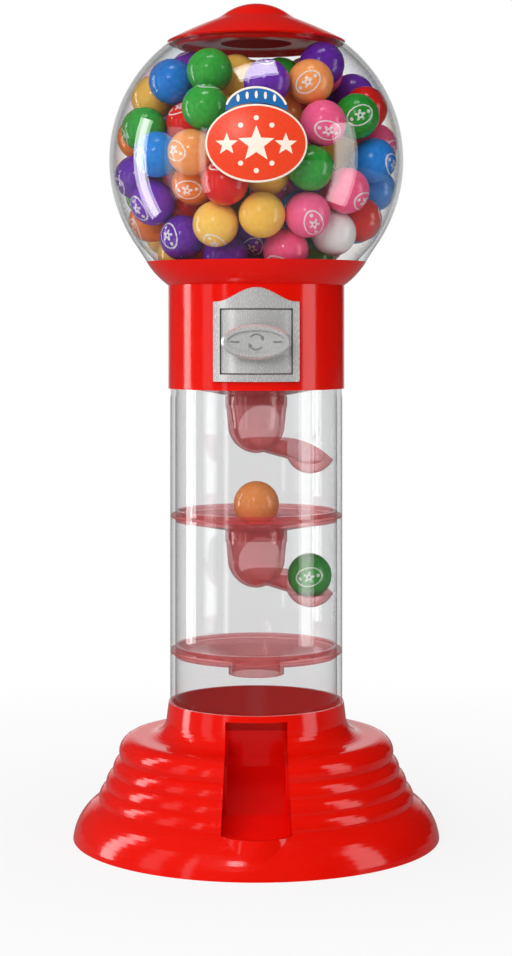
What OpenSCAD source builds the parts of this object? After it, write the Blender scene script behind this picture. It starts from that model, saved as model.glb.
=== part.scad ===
// Spiral gumball machine. Millimetres, +Z up, front towards -Y, origin at the centre of the foot.

/* [Gumball] */
// Diameter of a gumball
ball_d = 14.3; // [13.6:0.1:14.4]
// Seed of the ball layout
ball_seed = 8; // [1:1:40]

/* [Base] */
// Radius of the foot
foot_r = 58.6; // [57:0.1:62]
// Height of the flared skirt
skirt_h = 10.5; // [9:0.1:11]
// Radius of the shoulder above the beads
shoulder_r = 44; // [43:0.1:46]
// Height of the flat top of the bell
shoulder_z = 32.2; // [31:0.1:34]
// Height of the neck's rim
neck_z = 43; // [42:0.1:46]
// How far the neck's rim stands out from the tube
neck_step = 0.5; // [0.4:0.05:1.2]
// Wall of the bell
base_wall = 1.9; // [1.6:0.1:2.2]
// Number of beads round the bell
bead_count = 3; // [2:1:4]
// Width of the chute slot at the neck
slot_w = 19.2; // [18:0.1:20]
// Width of the chute slot at the tray
tray_w = 21; // [20:0.1:22]
// Height of the tray's lip
lip_z = 13.4; // [12.4:0.1:13.6]
// How far the tray's lip stands back from the foot's edge
lip_back = 3.6; // [2.8:0.1:4.4]
// Height of the tray's floor
tray_z = 6.5; // [6:0.1:7]
// Thickness of the bottom cover
cover_t = 1.8; // [1.4:0.1:2.2]
// Thickness of the rubber feet
pad_t = 2.4; // [2.2:0.1:2.8]

/* [Tube] */
// Outer radius of the clear tube
tube_r = 27.6; // [27.3:0.05:27.8]
// Wall of the clear tube
tube_wall = 1.6; // [1.2:0.1:1.7]
// Height of the lower end of the tube, inside the base
tube_z = 27.3; // [27:0.1:28]
// Distance from one track disc to the next
disc_pitch = 43.2; // [42.6:0.1:44]
// Height of the lowest disc's rim
disc_z = 61; // [60.5:0.1:62]

/* [Track discs and cups] */
// Thickness of the track discs
disc_t = 1.2; // [1:0.1:1.4]
// Height of a disc's rim band
band_h = 3.5; // [3.3:0.1:3.8]
// Depth from the rim to the neck
dish_d = 5.3; // [5.1:0.1:5.5]
// Length of the neck under the dish
disc_neck_h = 4.1; // [3.8:0.1:4.2]
// Room round a ball in the disc's neck
disc_neck_gap = 0.55; // [0.4:0.05:0.7]
// Wall of the cups
cup_t = 1.0; // [0.8:0.1:1.2]
// Depth of a cup's bottom under the rim
cup_d = 25; // [24.6:0.1:25.6]
// Depth of a spout's bottom under the rim
scoop_d = 31.8; // [31.2:0.1:32.4]

/* [Collar and hopper] */
// How far the collar stands out from the tube
collar_step = 0.7; // [0.5:0.05:1]
// Height of the straight part of the collar
collar_h = 33; // [32:0.1:34]
// Height of the flare
flare_h = 7.5; // [7:0.1:8]
// Outer radius of the collar's upper rim
rim_r = 35.3; // [35:0.1:36]
// Wall of the collar
collar_wall = 1.8; // [1.6:0.1:2]
// Room round a ball in the hopper's hole
hopper_hole_gap = 0.95; // [0.7:0.05:1.2]

/* [Dispenser] */
// Height of the spindle above the top disc's rim
spindle_up = 11; // [10.9:0.05:11.2]
// How far the cradle's flat underside dips into the top disc
cradle_dip = 3.4; // [3:0.1:3.5]
// Radius of the dispensing drum
drum_r = 13.2; // [13:0.1:13.3]
// Length of the drum
drum_l = 20; // [19:0.1:21]
// Gap round the drum
drum_gap = 0.4; // [0.3:0.05:0.5]
// Room round a ball in the drum's pocket
pocket_gap = 0.45; // [0.3:0.05:0.7]
// Radius of the drum's journals
journal_r = 5; // [4.6:0.1:5.2]
// Radius of the steel spindle
spindle_r = 2; // [1.6:0.1:2.4]
// Running clearance of the journals and the hub
run_gap = 0.06; // [0.03:0.01:0.09]
// Wall of the cradle
cradle_t = 2.2; // [1.8:0.1:2.4]

/* [Dial and handle] */
// Length of the oval handle
handle_w = 21.6; // [21:0.1:22]
// Height of the oval handle
handle_h = 10.8; // [10:0.1:12]
// Thickness of the oval handle
handle_t = 3.6; // [3:0.1:4.4]
// Width of the bezel
bezel_w = 26.7; // [26.2:0.1:27.4]
// Thickness of the bezel
bezel_t = 1.5; // [1.2:0.1:1.6]
// Width of the bezel's window
window_w = 22.5; // [22:0.1:23]
// Height of the bezel's window
window_h = 20.4; // [20:0.1:21]
// Height of the gable over the bezel's shoulders
gable_h = 4.4; // [3.6:0.1:4.8]
// Radius of the dial plate's convex face
dial_r = 22; // [20:0.5:26]

/* [Globe and lid] */
// Outer radius of the globe
globe_r = 47.2; // [46.8:0.1:48]
// Wall of the globe
globe_wall = 1.2; // [1:0.1:1.4]
// Radius of the globe's opening, outside
mouth_r = 28.3; // [27.8:0.1:28.8]
// Height of the lid above the globe's edge
lid_h = 12.8; // [12:0.1:13.6]
// Wall of the lid
lid_wall = 1.6; // [1.4:0.1:2]
// Half width of the front badge
badge_a = 15.3; // [14:0.1:16]
// Half height of the front badge
badge_b = 11.8; // [11:0.1:12.4]
// Thickness of the badge
badge_t = 0.6; // [0.5:0.1:0.8]

/* [Hidden] */
$fn = 96;
fit = 0.1;                 // gap of pieces that plug together and don't move
eps = 0.02;                // overlap of cuts that meet

ball_r = ball_d / 2;

// Tube and discs, from the bottom up
tube_in = tube_r - tube_wall;
spigot_step = 0.7;         // the tube's ends are reduced by this, for the sockets
spigot_r = tube_r - spigot_step;
flange_t = 0.8;            // the discs' flange between two tubes
flange_down = 2.1;         // from a disc's rim to the underside of its flange
disc_top = disc_z + 2 * disc_pitch;
disc_neck_r = ball_r + disc_neck_gap;
neck_out = disc_neck_r + disc_t;
dish_flat = 0.9;           // the dish's edge round its neck
dish_edge = 0.6;           // and inside its rim band

// Cups under the two upper discs, from the rim's top down
socket_r = neck_out + fit / 2;        // the cup's socket round the disc's neck
cup_ball_gap = 0.25;
cup_ball_r = ball_r + cup_ball_gap;   // the cup's round bottom, inside
cup_ball_z = cup_t + cup_ball_r - cup_d;
cup_waist_step = 0.8;
cup_waist_r = cup_ball_r + cup_t + cup_waist_step;   // where the straight side meets the round bottom
cup_waist_up = 0.3;
cup_waist_z = cup_waist_r + cup_waist_up - cup_d;
cup_band_d = dish_d + disc_neck_h + 0.8;     // depth of the step under the cup's band
cup_step = 0.25;
passage_gap = 0.2;
passage_r = ball_r + passage_gap;
passage_t = 0.75;          // wall of the ball's way out
scoop_t = 0.85;            // wall of the scoop's side
scoop_out = passage_r + scoop_t;
scoop_in = 8.05;           // the scoop's middle stands back from the tube's wall by this
scoop_r = tube_in - scoop_in;
spout_angle = 12.87;
scoop_ball_back = 8.31;    // the ball that rests in it stands back by this
scoop_ball_r = tube_in - scoop_ball_back;
scoop_ball_up = 10.3;      // and its middle is this far above the scoop's bottom
scoop_ball = [scoop_ball_r * cos(spout_angle), scoop_ball_r * sin(spout_angle), scoop_ball_up - scoop_d];
way_bend_r = 12.5;         // the ball leaves the cup at the back and turns right here
way_bend_angle = 75;
way_bend_d = 17.2;
way_bend_ease = 0.15;
way_bend = [way_bend_r * cos(way_bend_angle), way_bend_r * sin(way_bend_angle), -way_bend_d];
way_end = scoop_ball + [0, 0, 1];
trough_x = 7.65;           // the trough's upper edge is level up to here and falls in an arc
trough_top = 20.8;         // depths of that edge, of its end and of the low front wall
trough_end = 27.2;
trough_sag = 1.8;
scoop_front = 27.4;
scoop_front_in = 7.3;      // the open front starts this far to the left of the ball's middle
scoop_clear = 0.8;
quarter = 1 - cos(45);     // sagitta of a quarter circle of radius 1

// Drum and cradle, along Y about the spindle
drum_y = drum_l / 2;
plate_y = drum_y + drum_gap;              // inner faces of the cradle's end plates
cradle_y = plate_y + cradle_t;            // outer faces
cradle_in = drum_r + drum_gap;
cradle_r = cradle_in + cradle_t;
spindle_z = disc_top + spindle_up;
cradle_low = disc_top - cradle_dip;
pocket_r = ball_r + pocket_gap;
pocket_sink = 0.7;         // the ball lies this far under the drum's surface
deck_gap = 1.1;
deck_z = spindle_z + cradle_in + deck_gap;    // the deck's top, under the hopper
deck_t = 2.4;
screw_r = 1.1;
head_r = 2.1;
head_t = 1.5;
small_screw_r = 0.9;
plate_screw_angles = [0, 180, 315, 225];
plate_screw_r = (cradle_in + cradle_r) / 2;
plate_screw_core = 0.7;
plate_screw_head = 1.3;
spindle_sink = 0.6;
spindle_end = -plate_y - spindle_sink;    // in the drum's front journal
washer_t = 1;

// Collar
collar_r = tube_r + collar_step;
collar_plug = 2;           // the tube's spigot goes this far into the collar
collar_z = disc_top - flange_down - collar_plug;
collar_relief = 0.4;
collar_in = collar_r - collar_wall - collar_relief;
flare_z = collar_z + collar_h;
rim_z = flare_z + flare_h;
boss_r = 3;
boss_bite = 0.7;           // the deck's bosses go this far into the collar's wall
boss_l = 10;
deck_boss_r = collar_in + boss_bite - boss_r;

// Hopper: its upper face rises from the throat to the funnel's edge under the globe
hopper_hole_r = ball_r + hopper_hole_gap;
throat_edge = 0.8;
throat_r = hopper_hole_r + throat_edge;
throat_rise = 1.9;
throat_z = deck_z + throat_rise;
funnel_r = collar_in - fit;
funnel_rise = 3.6;
funnel_z = throat_z + funnel_rise;

// Globe: a sphere over a cone that is tangent to it and ends on the collar's rim
tongue_h = 1.4;
tongue_in = 1.9;           // from the rim's edge to the recess for the globe's tongue
tongue_r = rim_r - tongue_in;
tongue_t = 1.1;
globe_edge_r = rim_r - fit;
globe_foot_in = tongue_r - tongue_t;
cone_h = 5.2;              // height of the cone over the rim
cone_flare = 3.3;
cone_top_r = rim_r + cone_flare;
globe_z = rim_z + cone_h + sqrt(pow(globe_r, 2) - pow(cone_top_r, 2));
mouth_z = globe_z + sqrt(pow(globe_r, 2) - pow(mouth_r, 2));
globe_in = globe_r - globe_wall;
mouth_in = sqrt(pow(globe_in, 2) - pow(mouth_z - globe_z, 2));
inner_cone_top_r = sqrt(pow(globe_in, 2) - pow(globe_z - rim_z - cone_h, 2));

// Lid
lid_top = mouth_z + lid_h;
lid_over = 0.3;
lid_edge_r = mouth_r + lid_over;
lid_knob_r = 13.8;         // where the brim meets the dome's foot
lid_knob_z = 7.4;
lid_dome_r = 10.8;         // and where the foot's hollow curve meets the dome
lid_dome_z = 9.1;
lid_hollow_r = 11.4;       // the hollow under the dome
lid_ring_h = 1.2;
lid_ring_t = 1.8;
lid_ring_gap = 0.4;

// Badge and the low crest over it
badge_up = 1.8;            // the badge's middle is above the globe's
badge_z = globe_z + badge_up;
accent_w = 9.4;
accent_top = 17.1;         // above the badge's middle
accent_gap = 0.4;
accent_side = 2;           // the crest's sides start this far under the badge's top

// Dial
dial_sink = 0.3;
dial_front = collar_r + bezel_t - dial_sink;    // distance of the dial plate's face from the axis
dial_t = 1.8;
dial_gap = 0.4;            // gap round the dial plate in the window
dial_half = window_w / 2 - dial_gap;
window_up = 0.1;
window_z = spindle_z + window_up;         // middle of the window
bezel_lip = 0.9;           // wall of the lip that plugs into the collar
bezel_under = 2.2;         // border under the window, and between it and the shoulders
bezel_over = 2.1;
gable_half = 12;           // half width of the gable's foot
corner = 0.3;
post_front = dial_front - 2.3;            // the posts start inside the dial plate
handle_gap = 0.5;
handle_back = collar_r + bezel_t + handle_gap;
hub_r = 4.2;
bush_t = 1.2;
bush_out = 0.25;
bush_front = dial_front + bush_out;
bush_tail = 1;
bush_back = dial_front - dial_t - bush_tail;
post_r = 2.2;
post_x = 7.4;
post_z = 6.6;
post_head = 1.2;

// Base
cover_z = pad_t;
cover_top = cover_z + cover_t;
neck_r = tube_r + neck_step;
neck_in = spigot_r + fit;
first_notch_r = foot_r - 8.2;
first_notch_z = skirt_h + 1.6;
last_notch_r = shoulder_r - 0.3;
last_notch_z = shoulder_z - 6.7;
bead_sag = 0.75;
shoulder_round = 5;
neck_fillet = 6.2;
neck_foot = 0.6;
rim_bar = 2;               // height of the rim over the slot
boss_place = shoulder_r - 6;
boss_angles = [90, -25, 205];
base_screw_l = 11;
foot_place = foot_r - 12.6;
foot_angles = [45, 135, 225, 315];
foot_pad_r = 5;
channel_t = 1.5;
lip_r = foot_r - lip_back;
lip_side_r = foot_r - 8.6; // where the lip's ends meet the bell
lip_sag = lip_r - sqrt(pow(lip_side_r, 2) - pow(tray_w / 2, 2));
lip_round = (pow(tray_w / 2, 2) + pow(lip_sag, 2)) / (2 * lip_sag);
lip_y = lip_r - lip_round; // centre of the lip's round front
lip_foot_round = foot_r - lip_y;
lip_t = 1.8;
lip_root = 9.3;            // the bulge reaches back this far behind its centre

// Chute under the tube
ramp_half = tray_w / 2 - 0.05;
ramp_stop = 2.2;           // the trough's back wall stands up inside the tube by this much
ramp_t = 1.4;
ramp_back = neck_in - 7;
ramp_back_z = tube_z - 4.8;
ramp_mid = -(neck_in - 1);
ramp_mid_z = tube_z - ball_d - 0.8;
ramp_front = -(lip_y - 1);

// A ball that rolls on the middle disc
on_disc_in = 13;
on_disc_r = tube_in - on_disc_in;
dish_slope = atan((dish_d - band_h + disc_t + dish_edge)
    / (tube_in - disc_t - dish_edge - disc_neck_r - dish_flat));

// Ball layout
ball_gap = 0.1;
ball_step = ball_d + ball_gap;
least_gap = 0.03;
fill_gap = 0.15;
fill_z = mouth_z - lid_ring_h - ball_r - fill_gap;
heap_dip = 9;              // the heap is lower in the middle, within this radius
heap_r = 24;

// The colours in the mix, by number: purple, green, blue, peach, pink, yellow, red, orange, white
ball_mix = [0, 1, 4, 2, 5, 0, 3, 6, 1, 0, 2, 4, 7, 5, 0, 1, 6, 2, 4, 3, 5, 0, 8, 2, 1, 4, 5, 7, 3];
mix_step = 3;              // how far each ball moves on through the mix
rest_gap = 0.85;           // the other balls start this many ball steps clear of the front ones
front_yield = 0.12;        // how much of an overlap a front ball gives way to

// ---------- Helpers ----------

// Points of an arc from p to q that bulges by sag to the right of the way from p to q
function arc_points(p, q, sag, steps = 8) =
    let (chord = norm(q - p),
         r = (pow(chord / 2, 2) + pow(sag, 2)) / (2 * abs(sag)),
         along = (q - p) / chord,
         side = [along[1], -along[0]] * sign(sag),
         centre = (p + q) / 2 - side * (r - abs(sag)),
         half = asin(min(1, chord / 2 / r)))
    [for (i = [0:steps]) let (a = -half + 2 * half * i / steps)
        centre + r * (cos(a) * side + sin(a) * along)];

function ellipse_points(a, b, steps = 64) =
    [for (i = [0:steps - 1]) [a * cos(360 * i / steps), b * sin(360 * i / steps)]];

module ring(r_out, r_in, h) {
    difference() {
        cylinder(h = h, r = r_out);
        translate([0, 0, -1]) cylinder(h = h + 2, r = r_in);
    }
}

// Cylinder along Y from y0 to y1, on the spindle's line
module along_y(r, y0, y1, x = 0, z = 0) {
    translate([x, y1, spindle_z + z]) rotate([90, 0, 0]) cylinder(h = y1 - y0, r = r);
}

// Cylinder from point p to point q
module rod(p, q, r) {
    way = q - p;
    translate(p) rotate([0, acos(way[2] / norm(way)), atan2(way[1], way[0])]) cylinder(h = norm(way), r = r);
}

// An outline in X and Z, drawn towards the back from y0 to y1
module outline_y(points, y0, y1) {
    translate([0, y1, 0]) rotate([90, 0, 0]) linear_extrude(y1 - y0) polygon(points);
}

// Pan-head screw pointing down, its head's underside at z = 0
module screw_down(shank, head = head_r, tall = head_t, r = screw_r) {
    translate([0, 0, -shank]) cylinder(h = shank, r = r);
    difference() {
        cylinder(h = tall, r = head);
        translate([0, 0, tall - 0.7]) cross_slot(head);
    }
}

module cross_slot(head) {
    for (turn = [0, 90]) rotate([0, 0, turn])
        translate([-head * 0.65, -0.3, 0]) cube([head * 1.3, 0.6, 1]);
}

// ---------- Base ----------

function notch(i) = [
    first_notch_r + (last_notch_r - first_notch_r) * i / bead_count,
    first_notch_z + (last_notch_z - first_notch_z) * i / bead_count];

bell_points = concat(
    [[0, 0]],
    arc_points([foot_r, 0], [foot_r - 5.6, skirt_h], 1.15),
    [for (i = [0:bead_count - 1]) each arc_points(notch(i), notch(i + 1), bead_sag, 6)],
    [for (i = [0:8]) [shoulder_r - shoulder_round + shoulder_round * cos(90 * i / 8),
                      shoulder_z - shoulder_round + shoulder_round * sin(90 * i / 8)]],
    [for (i = [0:8]) [neck_r + neck_foot + neck_fillet - neck_fillet * sin(90 * i / 8),
                      shoulder_z + neck_fillet - neck_fillet * cos(90 * i / 8)]],
    [[neck_r, neck_z], [0, neck_z]]);

hollow_points = [
    [0, -1], [foot_r - base_wall + 0.2, -1], [foot_r - base_wall - 2.3, 5.5],
    [first_notch_r - 0.4, skirt_h - 0.6],
    [first_notch_r - base_wall - 0.6, first_notch_z + 0.8],
    [last_notch_r - base_wall - 0.5, last_notch_z + 0.6],
    [shoulder_r - base_wall - 2, shoulder_z - base_wall - 0.8],
    [shoulder_r - base_wall - 4.5, shoulder_z - base_wall],
    [neck_r + 2.4, shoulder_z - base_wall], [neck_r + neck_foot, shoulder_z - 4],
    [neck_r + neck_foot, tube_z + 0.4],
    [0, tube_z + 0.4]];

module bell_solid() { rotate_extrude() polygon(bell_points); }
module bell_hollow() { rotate_extrude() polygon(hollow_points); }

// Outside and inside of the tray's bulge, grown by the given amount
module lip_cone(grow, z0, z1) {
    r_at = function (z) lip_foot_round + (lip_round - lip_foot_round) * z / lip_z + grow;
    translate([0, -lip_y, z0]) cylinder(h = z1 - z0, r1 = r_at(z0), r2 = r_at(z1));
}

// The chute's slot in X and Z, down to the given height
function slot_outline(low) = [
    [-slot_w / 2, neck_z - rim_bar], [-slot_w / 2, shoulder_z], [-tray_w / 2, lip_z], [-tray_w / 2, low],
    [tray_w / 2, low], [tray_w / 2, lip_z], [slot_w / 2, shoulder_z], [slot_w / 2, neck_z - rim_bar]];

module channel_walls() {
    intersection() {
        bell_solid();
        difference() {
            translate([-tray_w / 2 - channel_t, -lip_side_r, cover_top])
                cube([tray_w + 2 * channel_t, lip_side_r - neck_in, neck_z]);
            outline_y(slot_outline(0), -lip_side_r - 1, 0);
        }
    }
}

module base_bosses() {
    for (a = boss_angles) rotate([0, 0, a]) translate([boss_place, 0, cover_top])
        cylinder(h = shoulder_z - base_wall - cover_top + 0.5, r = boss_r);
}

module base_shell() {
    color([0.87, 0.09, 0.03]) difference() {
        union() {
            difference() {
                union() {
                    bell_solid();
                    intersection() {
                        lip_cone(0, 0, lip_z);
                        translate([-foot_r, -foot_r, 0]) cube([2 * foot_r, lip_foot_round + lip_root, lip_z]);
                    }
                }
                bell_hollow();
                lip_cone(-lip_t, cover_top + 0.8, lip_z + 3);
                outline_y(slot_outline(lip_z - 2), -foot_r - 1, 0);
            }
            channel_walls();
            base_bosses();
        }
        translate([0, 0, cover_top]) cylinder(h = neck_z, r = neck_in);
        for (a = boss_angles) rotate([0, 0, a]) translate([boss_place, 0, 0])
            cylinder(h = cover_z + base_screw_l + 2.6, r = screw_r);
    }
}

module chute_ramp() {
    color([0.74, 0.04, 0.02]) {
        intersection() {
            // the sloping floor and the tray, in one strip
            rotate([90, 0, 90]) translate([0, 0, -ramp_half]) linear_extrude(2 * ramp_half) polygon([
                [ramp_back, ramp_back_z], [ramp_mid, ramp_mid_z], [ramp_front, tray_z], [-foot_r, tray_z],
                [-foot_r, tray_z - ramp_t], [ramp_front, tray_z - ramp_t],
                [ramp_mid, ramp_mid_z - ramp_t], [ramp_back, ramp_back_z - ramp_t]]);
            union() {
                translate([-foot_r, ramp_front - 1, 0]) cube([2 * foot_r, foot_r + ramp_back, neck_z]);
                lip_cone(-lip_t - fit, cover_top, lip_z);
            }
        }
        // side webs and back wall of the trough under the tube
        for (side = [-1, 1]) translate([side * (ramp_half - ramp_t / 2) - ramp_t / 2, ramp_mid, cover_top])
            cube([ramp_t, ramp_back - ramp_mid, tube_z - 0.3 - cover_top]);
        translate([-ramp_half, ramp_back - ramp_t, cover_top])
            cube([2 * ramp_half, ramp_t, tube_z + ramp_stop - cover_top]);
    }
}

module base_cover() {
    color([0.25, 0.25, 0.26]) difference() {
        translate([0, 0, cover_z]) cylinder(h = cover_t, r = foot_r - base_wall - 2.1);
        for (a = boss_angles) rotate([0, 0, a]) translate([boss_place, 0, 0])
            cylinder(h = cover_top + 1, r = screw_r + 0.2);
    }
}

module base_screws() {
    color("silver") for (a = boss_angles) rotate([0, 0, a]) translate([boss_place, 0, cover_z])
        rotate([180, 0, 0]) screw_down(base_screw_l, head_r + 0.9);
}

module rubber_feet() {
    color([0.12, 0.12, 0.12]) for (a = foot_angles) rotate([0, 0, a]) translate([foot_place, 0, 0])
        cylinder(h = pad_t, r = foot_pad_r);
}

// ---------- Tube, discs and cups ----------

module tube_part(z0, z1, spigot_low = 0, spigot_high = 0) {
    color([0.9, 0.93, 0.95, 0.35]) difference() {
        union() {
            translate([0, 0, z0 + spigot_low]) cylinder(h = z1 - z0 - spigot_low - spigot_high, r = tube_r);
            translate([0, 0, z0]) cylinder(h = z1 - z0, r = spigot_r);
        }
        translate([0, 0, z0 - 1]) cylinder(h = z1 - z0 + 2, r = tube_in);
    }
}

function flange_z(i) = disc_z + i * disc_pitch - flange_down;

module lower_tube() { tube_part(tube_z, flange_z(0), spigot_low = neck_z - tube_z); }
module middle_tube() { tube_part(flange_z(0) + flange_t, flange_z(1)); }
module upper_tube() { tube_part(flange_z(1) + flange_t, flange_z(2), spigot_high = flange_z(2) - collar_z); }

// A dish with its rim's top at z = 0: rim band, flange, cone and neck
module track_disc(flange_r) {
    dish_r = tube_in - disc_t;
    color([0.77, 0.5, 0.52, 0.8]) rotate_extrude() polygon([
        [dish_r, 0], [tube_in, 0], [tube_in, flange_t - flange_down], [flange_r, flange_t - flange_down],
        [flange_r, -flange_down], [tube_in, -flange_down], [tube_in, -band_h], [tube_in - 1, -band_h],
        [neck_out, -dish_d - disc_t], [neck_out, -dish_d - disc_neck_h],
        [disc_neck_r, -dish_d - disc_neck_h], [disc_neck_r, -dish_d + 0.3],
        [disc_neck_r + dish_flat, -dish_d], [dish_r - dish_edge, -band_h + disc_t + dish_edge],
        [dish_r, -band_h + disc_t + 1.4]]);
}

module track_disc_lower() { translate([0, 0, disc_z]) track_disc(tube_r); }
module track_disc_middle() { translate([0, 0, disc_z + disc_pitch]) track_disc(tube_r); }
module track_disc_top() { translate([0, 0, disc_top]) track_disc(spigot_r); }

cup_outside = concat(
    [[0, -dish_d - disc_t], [socket_r + cup_t, -dish_d - disc_t],
     [socket_r + cup_t, -cup_band_d], [socket_r + cup_t - cup_step, -cup_band_d]],
    arc_points([cup_waist_r, cup_waist_z], [0, -cup_d], -cup_waist_r * quarter, 10));
cup_inside = concat(
    [[0, -dish_d + 1], [socket_r, -dish_d + 1], [socket_r, -dish_d - disc_neck_h - 0.1],
     [socket_r - 0.5, -dish_d - disc_neck_h - 0.1]],
    arc_points([cup_ball_r, cup_ball_z], [0, -cup_d + cup_t], -cup_ball_r * quarter, 10));

// The bowl that a ball drops into at the spout's end, open upwards
bowl_points = concat(
    arc_points([0, -passage_r], [passage_r, 0], passage_r * quarter, 10),
    [[passage_r, 20], [0, 20]]);

// The ball's way from the cup to the scoop, grown by a wall
module ball_way(grow) {
    rod([0, 0, cup_ball_z], way_bend, passage_r + grow);
    translate(way_bend) sphere(r = passage_r + grow + way_bend_ease);
    rod(way_bend, way_end, passage_r + grow + way_bend_ease / 2);
}

// Everything under the trough's upper edge
module under_trough_edge() {
    outline_y(concat(
        [[-tube_in, -scoop_d - 1], [-tube_in, -trough_top]],
        arc_points([trough_x, -trough_top], [tube_in - scoop_clear - 0.5, -trough_end], -trough_sag),
        [[tube_in, -trough_end - 2], [tube_in, -scoop_d - 1]]), -tube_in, tube_in);
}

// A cup with its spout, under a disc whose rim's top is at z = 0
module track_cup() {
    color([0.77, 0.42, 0.45, 0.8]) difference() {
        union() {
            rotate_extrude() polygon(cup_outside);
            intersection() {
                union() {
                    rotate([0, 0, spout_angle]) translate([scoop_r, 0, scoop_out - scoop_d])
                        sphere(r = scoop_out);
                    ball_way(passage_t);
                }
                under_trough_edge();
                translate([0, 0, -scoop_d - 1]) cylinder(h = scoop_d + 1, r = tube_in - scoop_clear);
            }
        }
        rotate_extrude() polygon(cup_inside);
        // the ball's way out, the bowl of the scoop and its open front
        ball_way(0);
        translate(scoop_ball) rotate_extrude() polygon(bowl_points);
        translate([scoop_ball[0] - scoop_front_in, -tube_in, -scoop_front])
            cube([tube_in, tube_in + scoop_ball[1], scoop_front - trough_top + 1]);
    }
}

module track_cup_lower() { translate([0, 0, disc_z + disc_pitch]) track_cup(); }
module track_cup_upper() { translate([0, 0, disc_top]) track_cup(); }

// ---------- Collar and hopper ----------

module window_cut(grow = 0) {
    translate([-window_w / 2 - grow, -collar_r - 5, window_z - window_h / 2 - grow])
        cube([window_w + 2 * grow, collar_r - cradle_r, window_h + 2 * grow]);
}

module deck_places() {
    for (a = [45:90:315]) rotate([0, 0, a]) translate([deck_boss_r, 0, 0]) children();
}

module collar() {
    color([0.87, 0.09, 0.03]) difference() {
        union() {
            difference() {
                rotate_extrude() polygon(concat(
                    [[0, collar_z], [collar_r, collar_z]],
                    arc_points([collar_r, flare_z], [rim_r, rim_z], 0.5),
                    [[0, rim_z]]));
                rotate_extrude() polygon([
                    [0, collar_z - 1], [spigot_r + fit / 2, collar_z - 1],
                    [spigot_r + fit / 2, flange_z(2) + flange_t], [collar_in, flange_z(2) + flange_t],
                    [collar_in, flare_z - 1], [tongue_r - tongue_t, rim_z - tongue_h - 1],
                    [tongue_r - tongue_t, rim_z - tongue_h], [tongue_r, rim_z - tongue_h],
                    [tongue_r, rim_z + 1], [0, rim_z + 1]]);
            }
            intersection() {
                deck_places() translate([0, 0, deck_z - deck_t - boss_l]) cylinder(h = boss_l, r = boss_r);
                translate([0, 0, collar_z]) cylinder(h = 2 * collar_h, r = collar_r - 0.6);
            }
        }
        window_cut(bezel_lip);
        deck_places() translate([0, 0, deck_z - deck_t - boss_l + 1]) cylinder(h = 2 * boss_l, r = screw_r);
    }
}

module drum_cradle() {
    color([0.75, 0.75, 0.73]) difference() {
        union() {
            intersection() {
                along_y(cradle_r, -cradle_y, plate_y);
                translate([-collar_r, -collar_r, cradle_low])
                    cube([2 * collar_r, 2 * collar_r, deck_z - cradle_low]);
            }
            translate([0, 0, deck_z - deck_t]) cylinder(h = deck_t, r = collar_in - fit);
        }
        along_y(cradle_in, -plate_y, plate_y + 1);
        along_y(journal_r + run_gap, -cradle_y - 1, 0);
        translate([0, 0, spindle_z - cradle_r - 1]) cylinder(h = 2 * cradle_r, r = hopper_hole_r);
        // the deck is cut back behind the drum, where the rear plate closes it
        translate([-cradle_r, plate_y, deck_z - deck_t - 1]) cube([2 * cradle_r, cradle_t + 0.1, deck_t + 2]);
        deck_places() translate([0, 0, deck_z - deck_t - 1]) cylinder(h = deck_t + 2, r = screw_r);
        for (side = [-1, 1], up = [-1, 1]) along_y(small_screw_r, -cradle_y - 1, 0, side * post_x, up * post_z);
        for (side = [-1, 1], up = [-1, 1]) 
            along_y(2 * small_screw_r + fit, -plate_y - post_head, 0, side * post_x, up * post_z);
        for (a = plate_screw_angles)
            along_y(plate_screw_core, 0, plate_y + 1, plate_screw_r * cos(a), plate_screw_r * sin(a));
    }
}

module cradle_rear_plate() {
    color([0.75, 0.75, 0.73]) difference() {
        intersection() {
            along_y(cradle_r, plate_y, cradle_y);
            translate([-collar_r, -collar_r, cradle_low])
                    cube([2 * collar_r, 2 * collar_r, deck_z - cradle_low]);
        }
        along_y(journal_r + run_gap, plate_y - 1, cradle_y + 1);
        for (a = plate_screw_angles)
            along_y(plate_screw_core, 0, cradle_y + 1, plate_screw_r * cos(a), plate_screw_r * sin(a));
    }
}

module rear_plate_screws() {
    color("silver") for (a = plate_screw_angles) {
        along_y(plate_screw_core, plate_y - 6, cradle_y, plate_screw_r * cos(a), plate_screw_r * sin(a));
        along_y(plate_screw_head, cradle_y, cradle_y + 0.9, plate_screw_r * cos(a), plate_screw_r * sin(a));
    }
}

module deck_screws() {
    color("silver") deck_places() translate([0, 0, deck_z]) screw_down(8);
}

module hopper_funnel() {
    color([0.62, 0.04, 0.02]) rotate_extrude() polygon([
        [hopper_hole_r, deck_z], [hopper_hole_r + 3.6, deck_z],
        [funnel_r, funnel_z - 1.6], [funnel_r, funnel_z],
        [throat_r, throat_z], [hopper_hole_r, throat_z - 0.7]]);
}

// ---------- Dial, handle and drum ----------

// The bezel: a curved plate with a low gable, a window and a lip that plugs into the collar
function gable_at(x) = gable_h * pow((1 + cos(180 * min(1, abs(x) / gable_half))) / 2, 0.85);

module front_bezel() {
    low = window_z - window_h / 2 - bezel_under;
    high = window_z + window_h / 2 + bezel_over;
    half = bezel_w / 2;
    color([0.72, 0.72, 0.72]) difference() {
        union() {
            intersection() {
                translate([0, 0, collar_z]) ring(collar_r + bezel_t, collar_r, collar_h + 10);
                outline_y(concat(
                    [[half - corner, low], [half, low + corner], [half, high - corner], [half - corner, high]],
                    [for (i = [-12:12]) [-i * gable_half / 12, high + gable_at(i * gable_half / 12)]],
                    [[-half + corner, high], [-half, high - corner], [-half, low + corner],
                     [-half + corner, low]]), -collar_r - 5, 0);
            }
            intersection() {
                translate([0, 0, collar_z]) ring(collar_r + 0.5, collar_r - 1.4, collar_h);
                window_cut(bezel_lip - fit / 2);
            }
        }
        window_cut();
    }
}

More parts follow.
